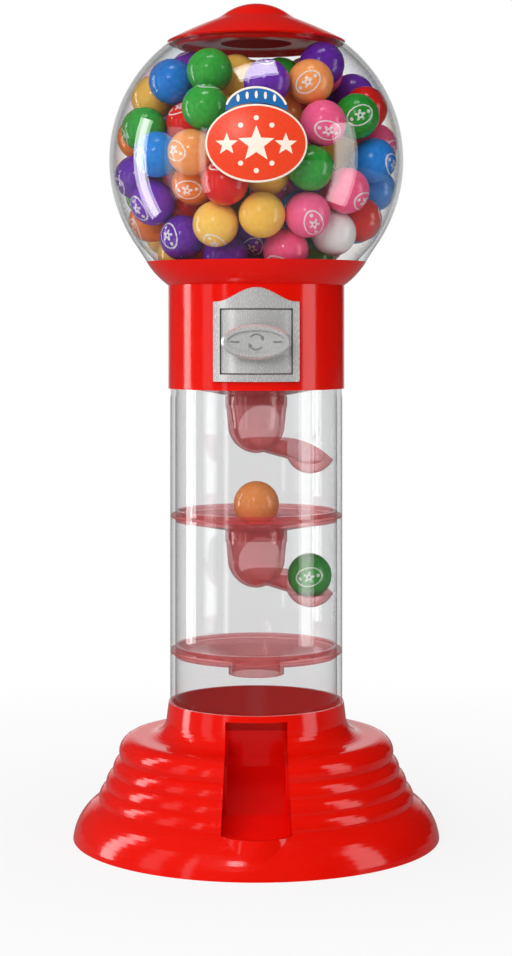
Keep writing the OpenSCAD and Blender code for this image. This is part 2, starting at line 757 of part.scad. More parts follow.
// The convex dial panel, with tabs and posts behind it
module dial_plate() {
    panel_h = window_h - 2 * dial_gap;
    centre_y = dial_front - dial_r;
    color([0.7, 0.7, 0.7]) difference() {
        union() {
            intersection() {
                translate([0, -centre_y, window_z - panel_h / 2]) ring(dial_r, dial_r - dial_t, panel_h);
                translate([-dial_half, -dial_front - 1, 0]) cube([2 * dial_half, dial_r, lid_top]);
            }
            for (side = [-1, 1], up = [-1, 1])
                along_y(post_r, -post_front, -cradle_y, side * post_x, up * post_z);
        }
        along_y(hub_r + run_gap + bush_t, -dial_front - 2, 0);
        for (side = [-1, 1], up = [-1, 1]) 
            along_y(small_screw_r, -cradle_y - 6, 0, side * post_x, up * post_z);
    }
}

module dial_screws() {
    color("silver") for (side = [-1, 1], up = [-1, 1]) {
        along_y(small_screw_r, -cradle_y - 6, -plate_y - post_head, side * post_x, up * post_z);
        along_y(2 * small_screw_r, -plate_y - post_head, -plate_y - fit, side * post_x, up * post_z);
    }
}

module spindle_bush() {
    color([0.2, 0.2, 0.2]) difference() {
        along_y(hub_r + run_gap + bush_t, -bush_front, -bush_back);
        along_y(hub_r + run_gap, -bush_front - 1, -bush_back + 1);
    }
}

// The oval handle with a rounded rim and a dished face
module turn_handle() {
    front = handle_back + handle_t;
    color([0.72, 0.72, 0.72]) difference() {
        union() {
            translate([0, -handle_back, spindle_z]) rotate([90, 0, 0]) hull() {
                linear_extrude(0.1) polygon(ellipse_points(handle_w / 2 - 0.9, handle_h / 2 - 0.9));
                translate([0, 0, 0.9]) linear_extrude(handle_t - 1.9)
                    polygon(ellipse_points(handle_w / 2, handle_h / 2));
                translate([0, 0, handle_t - 0.1]) linear_extrude(0.1)
                    polygon(ellipse_points(handle_w / 2 - 0.7, handle_h / 2 - 0.7));
            }
            along_y(hub_r, -handle_back - 1, -bush_back + 0.4);
        }
        outline_y([for (p = ellipse_points(handle_w / 2 - 1.8, handle_h / 2 - 1.8)) p + [0, spindle_z]],
                  -front - 1, -front + 0.8);
        along_y(spindle_r, -handle_back - 1.2, 0);
    }
}

module handle_spindle() {
    color("silver") along_y(spindle_r, -handle_back - 1.2, spindle_end);
}

module dispensing_drum() {
    color([0.9, 0.9, 0.88]) difference() {
        union() {
            along_y(drum_r, -drum_y, drum_y);
            along_y(journal_r, -cradle_y - 2.4, 0);
            along_y(journal_r, 0, cradle_y + drum_gap);
        }
        // the pocket opens upwards and holds one ball
        translate([0, 0, spindle_z + drum_r - ball_d - pocket_sink + pocket_r]) {
            sphere(r = pocket_r);
            cylinder(h = drum_r, r = pocket_r);
        }
        along_y(spindle_r, -cradle_y - 4, spindle_end);
        along_y(screw_r, cradle_y - 5, cradle_y + 3);
    }
}

module spindle_washer() {
    color("silver") difference() {
        along_y(journal_r + 1.6, cradle_y + drum_gap, cradle_y + drum_gap + washer_t);
        along_y(screw_r, cradle_y, cradle_y + 3);
    }
}

module spindle_screw() {
    head_y = cradle_y + drum_gap + washer_t;
    color("silver") {
        along_y(screw_r, cradle_y - 5, head_y);
        along_y(head_r + 0.4, head_y, head_y + head_t);
    }
}

// ---------- Globe, badge and lid ----------

module globe() {
    color([0.92, 0.95, 0.97, 0.3]) difference() {
        union() {
            intersection() {
                translate([0, 0, globe_z]) sphere(r = globe_r);
                translate([0, 0, rim_z + cone_h]) cylinder(h = mouth_z - rim_z - cone_h, r = globe_r + 1);
            }
            translate([0, 0, rim_z]) cylinder(h = cone_h, r1 = globe_edge_r, r2 = cone_top_r);
            translate([0, 0, rim_z - tongue_h]) cylinder(h = tongue_h + eps, r = tongue_r - fit / 2);
        }
        intersection() {
            translate([0, 0, globe_z]) sphere(r = globe_in);
            translate([0, 0, rim_z + cone_h]) cylinder(h = 2 * globe_r, r = globe_r + 1);
        }
        translate([0, 0, rim_z]) cylinder(h = cone_h + eps, r1 = globe_foot_in, r2 = inner_cone_top_r);
        translate([0, 0, rim_z - tongue_h - 1]) cylinder(h = tongue_h + 1 + eps, r = globe_foot_in);
    }
}

// Part of a thin shell on the globe's front, inside an outline in X and Z
module on_globe(points, from_r, to_r) {
    intersection() {
        difference() {
            translate([0, 0, globe_z]) sphere(r = to_r);
            translate([0, 0, globe_z]) sphere(r = from_r);
        }
        outline_y(points, -globe_r - 5, -globe_r / 2);
    }
}

module front_badge() {
    color([0.85, 0.12, 0.05]) on_globe(
        [for (p = ellipse_points(badge_a, badge_b)) p + [0, badge_z]], globe_r, globe_r + badge_t);
}

// A low crest over the badge, clear of it
module badge_accent() {
    inner = [for (i = [0:12]) let (a = 128 - 76 * i / 12)
        [(badge_a + accent_gap) * cos(a), badge_z + (badge_b + accent_gap) * sin(a)]];
    outer = [for (i = [0:12]) let (a = 180 * i / 12)
        [accent_w * cos(a), badge_z + badge_b - accent_side + (accent_top - badge_b + accent_side) * sin(a)]];
    color([0.1, 0.4, 0.75]) on_globe(concat(inner, outer), globe_r, globe_r + badge_t);
}

module lid() {
    ring_r = mouth_in - lid_ring_gap;
    color([0.87, 0.09, 0.03]) difference() {
        rotate_extrude() polygon(concat(
            [[0, mouth_z], [ring_r - lid_ring_t, mouth_z], [ring_r - lid_ring_t, mouth_z - lid_ring_h],
             [ring_r - 0.5, mouth_z - lid_ring_h], [ring_r, mouth_z - lid_ring_h + 0.5], [ring_r, mouth_z],
             [lid_edge_r - 0.5, mouth_z],
             [lid_edge_r, mouth_z + 0.5]],
            arc_points([lid_edge_r - 0.6, mouth_z + 0.9], [lid_knob_r, mouth_z + lid_knob_z], 0.2),
            arc_points([lid_knob_r - 0.4, mouth_z + lid_knob_z + 0.2],
                       [lid_dome_r + 0.4, mouth_z + lid_dome_z - 0.25], -0.07, 3),
            arc_points([lid_dome_r, mouth_z + lid_dome_z], [0, lid_top], 0.94, 12)));
        rotate_extrude() polygon(concat(
            [[0, mouth_z - 1], [lid_hollow_r, mouth_z - 1], [lid_hollow_r, mouth_z + 4]],
            arc_points([lid_hollow_r - 1, mouth_z + lid_dome_z - lid_wall - 1],
                       [5, lid_top - lid_wall - 0.8], 0.6),
            [[0, lid_top - lid_wall]]));
    }
}

// ---------- Gumballs ----------

golden = 180 * (3 - sqrt(5));
globe_centre = [0, 0, globe_z];
hopper_dir = [funnel_z - throat_z, funnel_r - throat_r];      // normal of the hopper's face, in r and z
cone_dir = [-cone_h, inner_cone_top_r - globe_foot_in];       // normal of the globe's cone, inside

// Balls that show from the front: right of the globe's middle, above it, layers in from the
// wall, colour
front_balls = [
    [-14, 26, 0, 1], [-16, 15, 0, 1], [-28, 24, 0, 2], [-35, 10, 0, 1], [5, 22, 0, 0],
    [19, 30, 0, 0], [20, 21, 0, 3], [20, 12, 0, 4], [32, 25, 0, 0], [32, 13, 0, 1],
    [40, 20, 0.5, 6], [40, 11, 0, 4], [-24, 11, 0.6, 6], [-20, 1, 0, 3], [-30, -2, 0, 2],
    [-40, -2, 0, 0], [-23, -7, 0.5, 7], [-32, -15, 0, 0], [-10, -11, 0, 6], [-12, -22, 0, 5],
    [2, -18, 0, 5], [17, -2, 0.2, 1], [27, 4, 0.8, 5], [38, -1, 0, 2], [28, -11, 0, 4],
    [16, -16, 0, 4], [26, -24, 0, 8], [11, -27, 0, 4], [36, -14, 0, 6], [-24, -25, 0, 0],
    [-36, -21, 0.2, 7], [-10, -31, 0, 0], [4, -7, 0.6, 5], [10, 29, 0.5, 1], [-6, 28, 0.5, 5],
    [-22, 28, 1, 0], [-41, 8, 0.8, 7], [42, -8, 0.3, 2], [-30, -30, 0.3, 5], [0, -27, 0.7, 0],
    [-38, 21, 0.6, 5], [30, 27, 1, 4]
];

// Points on a sphere round the globe's centre, each nudged a little at random
function shell_points(r, seed) =
    let (count = round(11.6 * pow(r / ball_step, 2)), jitter = rands(-0.2, 0.2, 3 * count, seed))
    [for (i = [0:count - 1]) let (up = 1 - 2 * (i + 0.5) / count, flat = sqrt(1 - up * up),
        p = [flat * cos(golden * i), flat * sin(golden * i), up]
            + [jitter[3 * i], jitter[3 * i + 1], jitter[3 * i + 2]])
        globe_centre + r * p / norm(p)];

function total(vectors, i = 0, sum = [0, 0, 0]) =
    i >= len(vectors) ? sum : total(vectors, i + 1, sum + vectors[i]);

// p moved off a wall through at (r, z) with the inward normal dir, if its ball is in the wall
function off_wall(p, at, dir) =
    let (n = dir / norm(dir), flat = max(norm([p[0], p[1]]), 0.01),
         depth = ball_r + ball_gap - ([flat, p[2]] - at) * n)
    depth <= 0 ? p : p + depth * [n[0] * p[0] / flat, n[0] * p[1] / flat, n[1]];

function heap_top(p) = fill_z - heap_dip * max(0, 1 - norm([p[0], p[1]]) / heap_r);

// p moved into the globe, over the hopper and under the top of the heap
function inside_globe(p) =
    let (off = p - globe_centre, room = globe_in - ball_r - ball_gap,
         a = norm(off) > room ? globe_centre + off * room / norm(off) : p,
         b = off_wall(a, [globe_foot_in, rim_z], cone_dir),
         c = off_wall(b, [throat_r, throat_z], [-hopper_dir[0], hopper_dir[1]]))
    [c[0], c[1], min(c[2], heap_top(c))];

function neighbours(points) =
    [for (p = points) [for (i = [0:len(points) - 1]) let (d = norm(points[i] - p))
        if (d > 0 && d < 1.5 * ball_d) i]];

// Balls that overlap push each other apart and stay in the globe; the front ones yield least
function pushed(points, near, steps) =
    steps == 0 ? points :
    pushed([for (i = [0:len(points) - 1]) let (p = points[i])
        inside_globe(p + total([for (k = near[i]) let (d = norm(p - points[k]))
            if (d < ball_step) (p - points[k]) * (ball_step * 1.015 - d) / d
                * (i < len(front_balls) ? front_yield : 0.5)]))], near, steps - 1);

function settled(points, rounds) =
    rounds == 0 ? points : settled(pushed(points, neighbours(points), 12), rounds - 1);

// Keeps each ball that is at least gap from every ball kept before it
function kept_apart(balls, gap, i = 0, kept = []) =
    i >= len(balls) ? kept :
    kept_apart(balls, gap, i + 1,
        min([1e9, for (q = kept) norm(balls[i][0] - q[0])]) < gap ? kept : concat(kept, [balls[i]]));

// Each ball's middle and colour
function all_balls() =
    let (room = globe_in - ball_r,
         front = [for (b = front_balls) let (r = room - b[2] * ball_step)
             globe_centre + [b[0], -sqrt(max(0, r * r - b[0] * b[0] - b[1] * b[1])), b[1]]],
         rest = [for (k = [0:2]) each [for (p = shell_points(room - k * ball_step, ball_seed + k))
             if (min([for (q = front) norm(p - q)]) > rest_gap * ball_step) p]],
         points = settled([for (p = concat(front, rest)) inside_globe(p)], 10),
         balls = [for (i = [0:len(points) - 1]) [points[i],
             i < len(front) ? front_balls[i][3] : ball_mix[i * mix_step % len(ball_mix)]]])
    kept_apart(balls, ball_d + least_gap);

module gumballs(colour, tint) {
    color(tint) for (ball = all_balls()) if (ball[1] == colour)
        translate(ball[0]) sphere(r = ball_r, $fn = 48);
}

module gumballs_purple() { gumballs(0, [0.31, 0.1, 0.63]); }
module gumballs_green() { gumballs(1, [0.12, 0.59, 0.14]); }
module gumballs_blue() { gumballs(2, [0.1, 0.43, 0.82]); }
module gumballs_peach() { gumballs(3, [1, 0.59, 0.27]); }
module gumballs_pink() { gumballs(4, [1, 0.39, 0.55]); }
module gumballs_yellow() { gumballs(5, [0.96, 0.75, 0.27]); }
module gumballs_red() { gumballs(6, [0.86, 0.08, 0.06]); }
module gumballs_orange() { gumballs(7, [0.94, 0.43, 0.08]); }
module gumballs_white() { gumballs(8, [0.9, 0.9, 0.9]); }

// On the middle disc
module gumball_on_disc() {
    rest_z = tan(dish_slope) * (on_disc_r - disc_neck_r - dish_flat) - dish_d
        + ball_r / cos(dish_slope) + fit / 2;
    color([1, 0.59, 0.27]) translate([0, -on_disc_r, disc_z + disc_pitch + rest_z])
        sphere(r = ball_r, $fn = 64);
}

module gumball_on_spout() {
    color([0.12, 0.59, 0.14]) translate([scoop_ball[0], scoop_ball[1], disc_z + disc_pitch + scoop_ball[2]])
        sphere(r = ball_r, $fn = 64);
}

base_shell();
chute_ramp();
base_cover();
base_screws();
rubber_feet();
lower_tube();
middle_tube();
upper_tube();
track_disc_lower();
track_disc_middle();
track_disc_top();
track_cup_lower();
track_cup_upper();
collar();
drum_cradle();
cradle_rear_plate();
rear_plate_screws();
deck_screws();
hopper_funnel();
dial_plate();
dial_screws();
front_bezel();
spindle_bush();
turn_handle();
handle_spindle();
dispensing_drum();
spindle_washer();
spindle_screw();
globe();
front_badge();
badge_accent();
lid();
gumballs_purple();
gumballs_green();
gumballs_blue();
gumballs_peach();
gumballs_pink();
gumballs_yellow();
gumballs_red();
gumballs_orange();
gumballs_white();
gumball_on_disc();
gumball_on_spout();
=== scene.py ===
"""Spiral gumball machine: materials, candy, badge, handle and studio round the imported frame."""
import math
import random

import bmesh
import bpy
from mathutils import Euler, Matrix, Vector


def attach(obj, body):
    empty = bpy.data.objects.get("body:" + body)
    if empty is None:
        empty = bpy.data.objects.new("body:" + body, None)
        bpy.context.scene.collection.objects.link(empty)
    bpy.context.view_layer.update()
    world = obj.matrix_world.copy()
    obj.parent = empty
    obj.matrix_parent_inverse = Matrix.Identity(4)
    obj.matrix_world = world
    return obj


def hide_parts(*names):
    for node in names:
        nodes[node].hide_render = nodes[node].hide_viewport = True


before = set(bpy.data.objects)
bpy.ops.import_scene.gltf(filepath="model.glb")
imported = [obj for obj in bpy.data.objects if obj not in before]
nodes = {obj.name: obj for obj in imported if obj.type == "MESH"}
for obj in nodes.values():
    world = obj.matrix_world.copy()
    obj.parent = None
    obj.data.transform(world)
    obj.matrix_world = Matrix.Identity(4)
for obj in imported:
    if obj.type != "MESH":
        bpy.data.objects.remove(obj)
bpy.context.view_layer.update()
scene = bpy.context.scene
MM = 0.001

# ---------- Sizes of the frame, in metres ----------

BALL_R = 7.15 * MM
GLOBE_R = 47.2 * MM
GLOBE_Z = 216.16 * MM
SPINDLE_Z = 158.4 * MM
HANDLE_Y = -33.1 * MM       # the handle's sunk face
NECK_Z = 43 * MM            # the base's rim, which the tube stands in

# the badge: half its width and height, its middle and its thickness
BADGE_A, BADGE_B = 15.3 * MM, 11.8 * MM
BADGE_Z = GLOBE_Z + 1.8 * MM
BADGE_T = 0.6 * MM
BADGE_BORDER = 0.75 * MM
PRINT_SUNK = 0.05 * MM      # how far a print's tiles reach into what they lie on
PRINT_T = 0.1 * MM
TILE_CELL = 1.2 * MM        # the tiles bend round the globe in steps of this size

# the crest above the badge: half its width, its height and its foot above the badge's middle
CREST_W, CREST_H, CREST_FOOT = 9.4 * MM, 7.3 * MM, 9.8 * MM

# the print on a gumball, as shares of its radius
PRINT_A, PRINT_B = 0.62, 0.44
PETALS = 5
PRINTED_SHARE = 0.62        # the share of the balls that carry a print


# ---------- Material helpers ----------

def linear(r, g, b):
    """An sRGB colour, 0-255, as linear RGBA."""
    def one(c):
        c /= 255
        return c / 12.92 if c <= 0.04045 else ((c + 0.055) / 1.055) ** 2.4
    return (one(r), one(g), one(b), 1.0)


class Graph:
    """The node tree of a material or a world, with short calls for the nodes used here."""

    def __init__(self, owner):
        owner.use_nodes = True
        self.owner = owner
        self.tree = owner.node_tree
        self.tree.nodes.clear()

    def add(self, kind, sockets=None, **settings):
        node = self.tree.nodes.new(kind)
        for key, value in settings.items():
            setattr(node, key, value)
        for key, value in (sockets or {}).items():
            self.put(node, key, value)
        return node

    def put(self, node, key, value):
        socket = node.inputs[key]
        if isinstance(value, bpy.types.NodeSocket):
            self.tree.links.new(value, socket)
        else:
            socket.default_value = value

    def place(self, stretch=(1, 1, 1)):
        coords = self.add("ShaderNodeTexCoord").outputs["Object"]
        return self.add("ShaderNodeMapping", {"Vector": coords, "Scale": stretch}).outputs[0]

    def noise(self, scale, detail=2.0, stretch=(1, 1, 1), rough=0.5):
        sockets = {"Vector": self.place(stretch), "Scale": scale, "Detail": detail, "Roughness": rough}
        return self.add("ShaderNodeTexNoise", sockets).outputs["Fac"]

    def spread(self, value, low, high, from_low=0.3, from_high=0.7):
        """The value moved from its own range, a noise's by default, to low..high."""
        sockets = {"Value": value, "From Min": from_low, "From Max": from_high, "To Min": low, "To Max": high}
        return self.add("ShaderNodeMapRange", sockets).outputs[0]

    def mix(self, factor, a, b):
        node = self.add("ShaderNodeMix", data_type="RGBA")
        self.put(node, 0, factor)
        self.put(node, 6, a)
        self.put(node, 7, b)
        return node.outputs[2]

    def blend(self, factor, a, b):
        """Two shaders, mixed."""
        return self.add("ShaderNodeMixShader", {"Fac": factor, 1: a, 2: b}).outputs[0]

    def math(self, operation, a, b=0.0, c=0.0):
        node = self.add("ShaderNodeMath", operation=operation)
        for i, value in enumerate((a, b, c)):
            self.put(node, i, value)
        return node.outputs[0]

    def square_sum(self, a, b):
        return self.math("ADD", self.math("MULTIPLY", a, a), self.math("MULTIPLY", b, b))

    def bump(self, height, strength, distance):
        sockets = {"Height": height, "Strength": strength, "Distance": distance}
        return self.add("ShaderNodeBump", sockets).outputs[0]

    def principled(self, **sockets):
        names = {"colour": "Base Color", "rough": "Roughness", "metal": "Metallic", "normal": "Normal",
                 "ior": "IOR", "glow": "Subsurface Weight", "glow_scale": "Subsurface Scale",
                 "glow_radius": "Subsurface Radius", "spec": "Specular IOR Level"}
        return self.add("ShaderNodeBsdfPrincipled", {names[k]: v for k, v in sockets.items()}).outputs[0]

    def finish(self, shader):
        self.add("ShaderNodeOutputMaterial", {"Surface": shader})
        return self.owner


def material_graph(name):
    return Graph(bpy.data.materials.new(name))


# ---------- Materials ----------

def shiny_plastic(name, colour, shade, rough=0.12, gloss=0.3):
    """Moulded glossy plastic: a little mottling, a faint orange peel and fine scuffs."""
    g = material_graph(name)
    tone = g.mix(g.spread(g.noise(55, 3), 0, 1), colour, shade)
    scuff = g.spread(g.noise(900, 2, (1, 1, 0.25)), rough - 0.03, rough + 0.04)
    peel = g.bump(g.noise(420, 1), 0.008, 0.0002)
    return g.finish(g.principled(colour=tone, rough=scuff, normal=peel, spec=gloss, ior=1.5))


def metal(name, colour, shade, rough, stretch, share=1.0, streaks=3200, depth=0.03):
    """Steel, or plastic in silver paint with a share of metal flakes, with fine streaks one way."""
    g = material_graph(name)
    streak = g.noise(streaks, 3, stretch, 0.6)
    cloud = g.noise(160, 3)
    tone = g.mix(g.spread(cloud, 0, 1), colour, shade)
    tone = g.mix(g.spread(streak, 0, 0.6), tone, shade)
    return g.finish(g.principled(colour=tone, metal=share, rough=g.spread(streak, rough - 0.02, rough + 0.03),
                                 normal=g.bump(streak, depth, 0.0001)))


def see_through(g, per_face, edge, rough, normal, rim_power):
    """Light that goes straight through, dimmer towards the outline, under a sharp gloss that grows there."""
    through = g.add("ShaderNodeBsdfTransparent", {"Color": per_face}).outputs[0]
    rim = g.add("ShaderNodeBsdfTransparent", {"Color": edge}).outputs[0]
    facing = g.add("ShaderNodeLayerWeight", {"Blend": 0.5, "Normal": normal}).outputs["Facing"]
    body = g.blend(g.math("POWER", facing, rim_power), through, rim)
    sheen = {"Color": (1, 1, 1, 1), "Roughness": rough, "Normal": normal}
    gloss = g.add("ShaderNodeBsdfGlossy", sheen).outputs[0]
    mirror = g.math("MULTIPLY_ADD", g.math("POWER", facing, 5.0), 0.9, 0.045)      # Schlick's rule
    return body, gloss, mirror


def clear_plastic(name, edge, per_face, inside_below, rim_power):
    """Clear polystyrene. Where the tube stands in the base it shows the red wall behind it undimmed."""
    g = material_graph(name)
    ripple = g.bump(g.noise(45, 1, (1, 1, 0.4)), 0.02, 0.0006)
    height = g.add("ShaderNodeSeparateXYZ", {"Vector": g.place()}).outputs[2]
    free = g.math("GREATER_THAN", height, inside_below)
    face = g.mix(free, (0.99, 0.99, 0.99, 1), per_face)
    outline = g.mix(free, (0.96, 0.94, 0.94, 1), edge)
    body, gloss, mirror = see_through(g, face, outline, 0.02, ripple, rim_power)
    return g.finish(g.blend(g.math("MULTIPLY", mirror, g.spread(free, 0.3, 1, 0, 1)), body, gloss))


def smoky_plastic(name, per_face, edge, milk_colour, milk):
    """Tinted see-through plastic with a little milk in it."""
    g = material_graph(name)
    ripple = g.bump(g.noise(160, 2, (1, 1, 0.15)), 0.04, 0.0004)
    cloud = g.spread(g.noise(70, 3), milk - 0.02, milk + 0.04)
    body, gloss, mirror = see_through(g, per_face, edge, 0.05, ripple, 3.0)
    bloom = g.add("ShaderNodeBsdfDiffuse", {"Color": milk_colour}).outputs[0]
    return g.finish(g.blend(mirror, g.blend(cloud, body, bloom), gloss))


def print_on_candy(g, x, y):
    """Where the ink is, across a ball's front: an oval ring, a flower in it and a dot on each side."""
    oval = g.math("SQRT", g.square_sum(g.math("DIVIDE", x, PRINT_A), g.math("DIVIDE", y, PRINT_B)))
    ring = g.math("LESS_THAN", g.math("ABSOLUTE", g.math("SUBTRACT", oval, 0.93)), 0.06)
    reach = g.math("SQRT", g.square_sum(x, y))
    petals = g.math("COSINE", g.math("MULTIPLY", g.math("ARCTAN2", y, x), float(PETALS)))
    flower = g.math("LESS_THAN", reach, g.math("MULTIPLY_ADD", petals, 0.07, 0.19))
    heart = g.math("GREATER_THAN", reach, 0.06)
    side = g.math("SUBTRACT", g.math("ABSOLUTE", x), 0.41)
    dots = g.math("LESS_THAN", g.square_sum(side, y), 0.006)
    return g.math("MAXIMUM", g.math("MAXIMUM", ring, dots), g.math("MULTIPLY", flower, heart))


def candy(name, colour, shade):
    """A sugar shell with a faint mottling, and a white print, partly worn, on the balls that carry one.
    Each ball keeps its own place in the attribute 'spot', and its tint and print in 'tint'."""
    g = material_graph(name)
    spot = g.add("ShaderNodeAttribute", attribute_name="spot").outputs["Vector"]
    own = g.add("ShaderNodeAttribute", attribute_name="tint").outputs["Vector"]
    tint, printed = (g.add("ShaderNodeSeparateXYZ", {"Vector": own}).outputs[i] for i in (0, 1))
    axes = g.add("ShaderNodeSeparateXYZ", {"Vector": spot}).outputs
    mottle = g.add("ShaderNodeTexNoise", {"Vector": spot, "Scale": 5.0, "Detail": 4.0}).outputs["Fac"]
    tone = g.mix(g.spread(g.math("ADD", mottle, tint), 0, 1, 0.25, 0.85), colour, shade)
    wear = g.add("ShaderNodeTexNoise", {"Vector": spot, "Scale": 22.0}).outputs["Fac"]
    kept = g.math("GREATER_THAN", wear, 0.4)
    on_front = g.math("MULTIPLY", printed, g.math("GREATER_THAN", axes[2], 0.0))
    ink_and_painted_groove_shade = g.math("MULTIPLY", g.math("MULTIPLY", print_on_candy(g, axes[0], axes[1]), kept), on_front)
    tone = g.mix(g.math("MULTIPLY", ink_and_painted_groove_shade, 0.85), tone, (0.88, 0.88, 0.86, 1))
    skin = g.bump(mottle, 0.05, 0.0004)
    return g.finish(g.principled(colour=tone, rough=g.spread(mottle, 0.12, 0.2), normal=skin, spec=0.45,
                                 ior=1.48, glow=0.1, glow_scale=0.002, glow_radius=(1.0, 0.5, 0.3)))


def printed_film(name, colour, shade):
    """Ink on a clear film, with a very fine grain."""
    g = material_graph(name)
    grain = g.noise(3200, 1)
    return g.finish(g.principled(colour=g.mix(grain, colour, shade), rough=g.spread(grain, 0.26, 0.32),
                                 spec=0.35, normal=g.bump(grain, 0.01, 0.0001)))


def rubber(name):
    g = material_graph(name)
    grain = g.noise(2500, 2)
    return g.finish(g.principled(colour=g.mix(grain, (0.012, 0.012, 0.012, 1), (0.03, 0.03, 0.03, 1)),
                                 rough=g.spread(grain, 0.6, 0.8), normal=g.bump(grain, 0.3, 0.0001)))


RED = linear(236, 18, 2)
RED_SHADE = linear(232, 13, 1)
# The inner red, for the chute and the hopper, is painted brighter than the outer red: painted light that
# lifts them out of the shade inside the base.
INNER_RED_PAINTED_BRIGHT = linear(250, 12, 3)
INNER_RED_PAINTED_BRIGHT_MOTTLE = linear(244, 9, 2)
MATERIALS = {
    "red_plastic": shiny_plastic("glossy red plastic", RED, RED_SHADE),
    "red_plastic_dark": shiny_plastic("inner red plastic painted brighter against shade", INNER_RED_PAINTED_BRIGHT, INNER_RED_PAINTED_BRIGHT_MOTTLE, 0.16, 0.15),
    "grey_plastic": shiny_plastic("grey cover plastic", linear(66, 66, 68), linear(58, 58, 60), 0.4),
    "cradle_plastic": shiny_plastic("pale cradle plastic", linear(196, 196, 190),
                                    linear(184, 184, 178), 0.35),
    "drum_plastic": shiny_plastic("white drum plastic", linear(226, 226, 220), linear(214, 214, 208), 0.3),
    "silver_plastic": metal("silver painted plastic", linear(224, 224, 223), linear(214, 214, 213), 0.26,
                            (1.0, 1.0, 0.22), 0.45, 3400, 0.004),
    "screw_steel": metal("screw steel", linear(180, 182, 184), linear(150, 152, 155), 0.28, (1, 1, 1)),
    "rubber": rubber("black rubber"),
    "clear_plastic": clear_plastic("clear tube plastic", (0.7, 0.7, 0.71, 1),
                                   (0.938, 0.939, 0.941, 1), NECK_Z, 9.0),
    "globe_plastic": clear_plastic("clear globe plastic", (0.46, 0.47, 0.48, 1),
                                   (0.994, 0.995, 0.996, 1), 0.0, 7.0),
    "smoky_plastic": smoky_plastic("smoky pink plastic", (0.968, 0.77, 0.78, 1), (0.78, 0.4, 0.4, 1),
                                   linear(240, 84, 84), 0.24),
    "badge_label": printed_film("badge cream", linear(252, 238, 222), linear(248, 232, 214)),
    "badge_blue": printed_film("crest blue", linear(22, 108, 176), linear(16, 98, 164)),
    "badge_face": printed_film("badge red orange", linear(240, 68, 30), linear(238, 64, 27)),
    # The handle's marks are flat and grey: painted shade standing in for engraved grooves.
    "ink_and_painted_groove_shade": printed_film("grey marks painted as groove shade", linear(128, 128, 127), linear(112, 112, 111)),
}
CANDY = {
    "purple": ((120, 54, 186), (96, 34, 162)), "green": ((62, 174, 66), (34, 148, 44)),
    "blue": ((48, 146, 234), (28, 120, 212)), "peach": ((255, 168, 98), (252, 144, 70)),
    "pink": ((255, 108, 156), (250, 84, 134)), "yellow": ((255, 206, 98), (248, 188, 70)),
    "red": ((238, 30, 22), (220, 16, 12)), "orange": ((252, 132, 34), (244, 110, 18)),
    "white": ((248, 247, 245), (236, 234, 232)),
}
for colour, (light, deep) in CANDY.items():
    MATERIALS["candy_" + colour] = candy(colour + " gumball", linear(*light), linear(*deep))


def dress(names, material):
    for name in names:
        for slot in nodes[name].material_slots:
            slot.material = MATERIALS[material]


def dress_frame():
    dress(["base_shell", "collar", "lid"], "red_plastic")
    dress(["chute_ramp", "hopper_funnel"], "red_plastic_dark")
    dress(["base_cover", "spindle_bush"], "grey_plastic")
    dress(["drum_cradle", "cradle_rear_plate"], "cradle_plastic")
    dress(["dispensing_drum"], "drum_plastic")
    dress(["dial_plate", "front_bezel", "turn_handle"], "silver_plastic")
    dress(["base_screws", "rear_plate_screws", "deck_screws", "dial_screws", "handle_spindle",
           "spindle_washer", "spindle_screw"], "screw_steel")
    dress(["rubber_feet"], "rubber")
    dress(["lower_tube", "middle_tube", "upper_tube"], "clear_plastic")
    dress(["globe"], "globe_plastic")
    dress(["track_disc_lower", "track_disc_middle", "track_disc_top", "track_cup_lower",
           "track_cup_upper"], "smoky_plastic")
    dress(["front_badge"], "badge_label")
    dress(["badge_accent"], "badge_blue")


def soften_bezel():
    edge = nodes["front_bezel"].modifiers.new("soft edges", "BEVEL")
    edge.width = 0.4 * MM
    edge.segments = 2
    edge.limit_method = "ANGLE"
    edge.angle_limit = math.radians(40)


dress_frame()
soften_bezel()


# ---------- Piece helpers ----------

def piece(name, mesh, material, body, smooth=True):
    obj = bpy.data.objects.new(name, mesh)
    scene.collection.objects.link(obj)
    mesh.materials.append(MATERIALS[material])
    mesh.polygons.foreach_set("use_smooth", [smooth] * len(mesh.polygons))
    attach(obj, body)
    return obj


def flat_piece(name, bm, material, body):
    """A flat-shaded piece made of the bmesh, with its faces turned outwards."""
    bmesh.ops.recalc_face_normals(bm, faces=bm.faces[:])
    mesh = bpy.data.meshes.new(name)
    bm.to_mesh(mesh)
    bm.free()
    return piece(name, mesh, material, body, smooth=False)


def islands(obj):
    """The separate solids of a mesh, each as the middle of its box."""
    mesh = obj.data
    key = {}
    first = [key.setdefault(tuple(round(c * 1e6) for c in v.co), v.index) for v in mesh.vertices]
    parent = {i: i for i in set(first)}

    def root(i):
        while parent[i] != i:
            parent[i] = parent[parent[i]]
            i = parent[i]
        return i

    for edge in mesh.edges:
        a, b = (root(first[i]) for i in edge.vertices)
        parent[a] = b
    groups = {}
    for i in parent:
        groups.setdefault(root(i), []).append(mesh.vertices[i].co)
    middles = []
    for points in groups.values():
        low = Vector([min(p[k] for p in points) for k in range(3)])
        high = Vector([max(p[k] for p in points) for k in range(3)])
        middles.append((low + high) / 2)
    return sorted(middles, key=lambda p: (round(p.z, 5), round(p.x, 5), round(p.y, 5)))


# ---------- Gumballs ----------

rng = random.Random(7)


def ball_template():
    """The points and faces of a ball of radius 1."""
    bm = bmesh.new()
    bmesh.ops.create_uvsphere(bm, u_segments=40, v_segments=22, radius=1.0)
    verts = [v.co.copy() for v in bm.verts]
    faces = [[v.index for v in f.verts] for f in bm.faces]
    bm.free()
    return verts, faces


BALL_POINTS, BALL_FACES = ball_template()


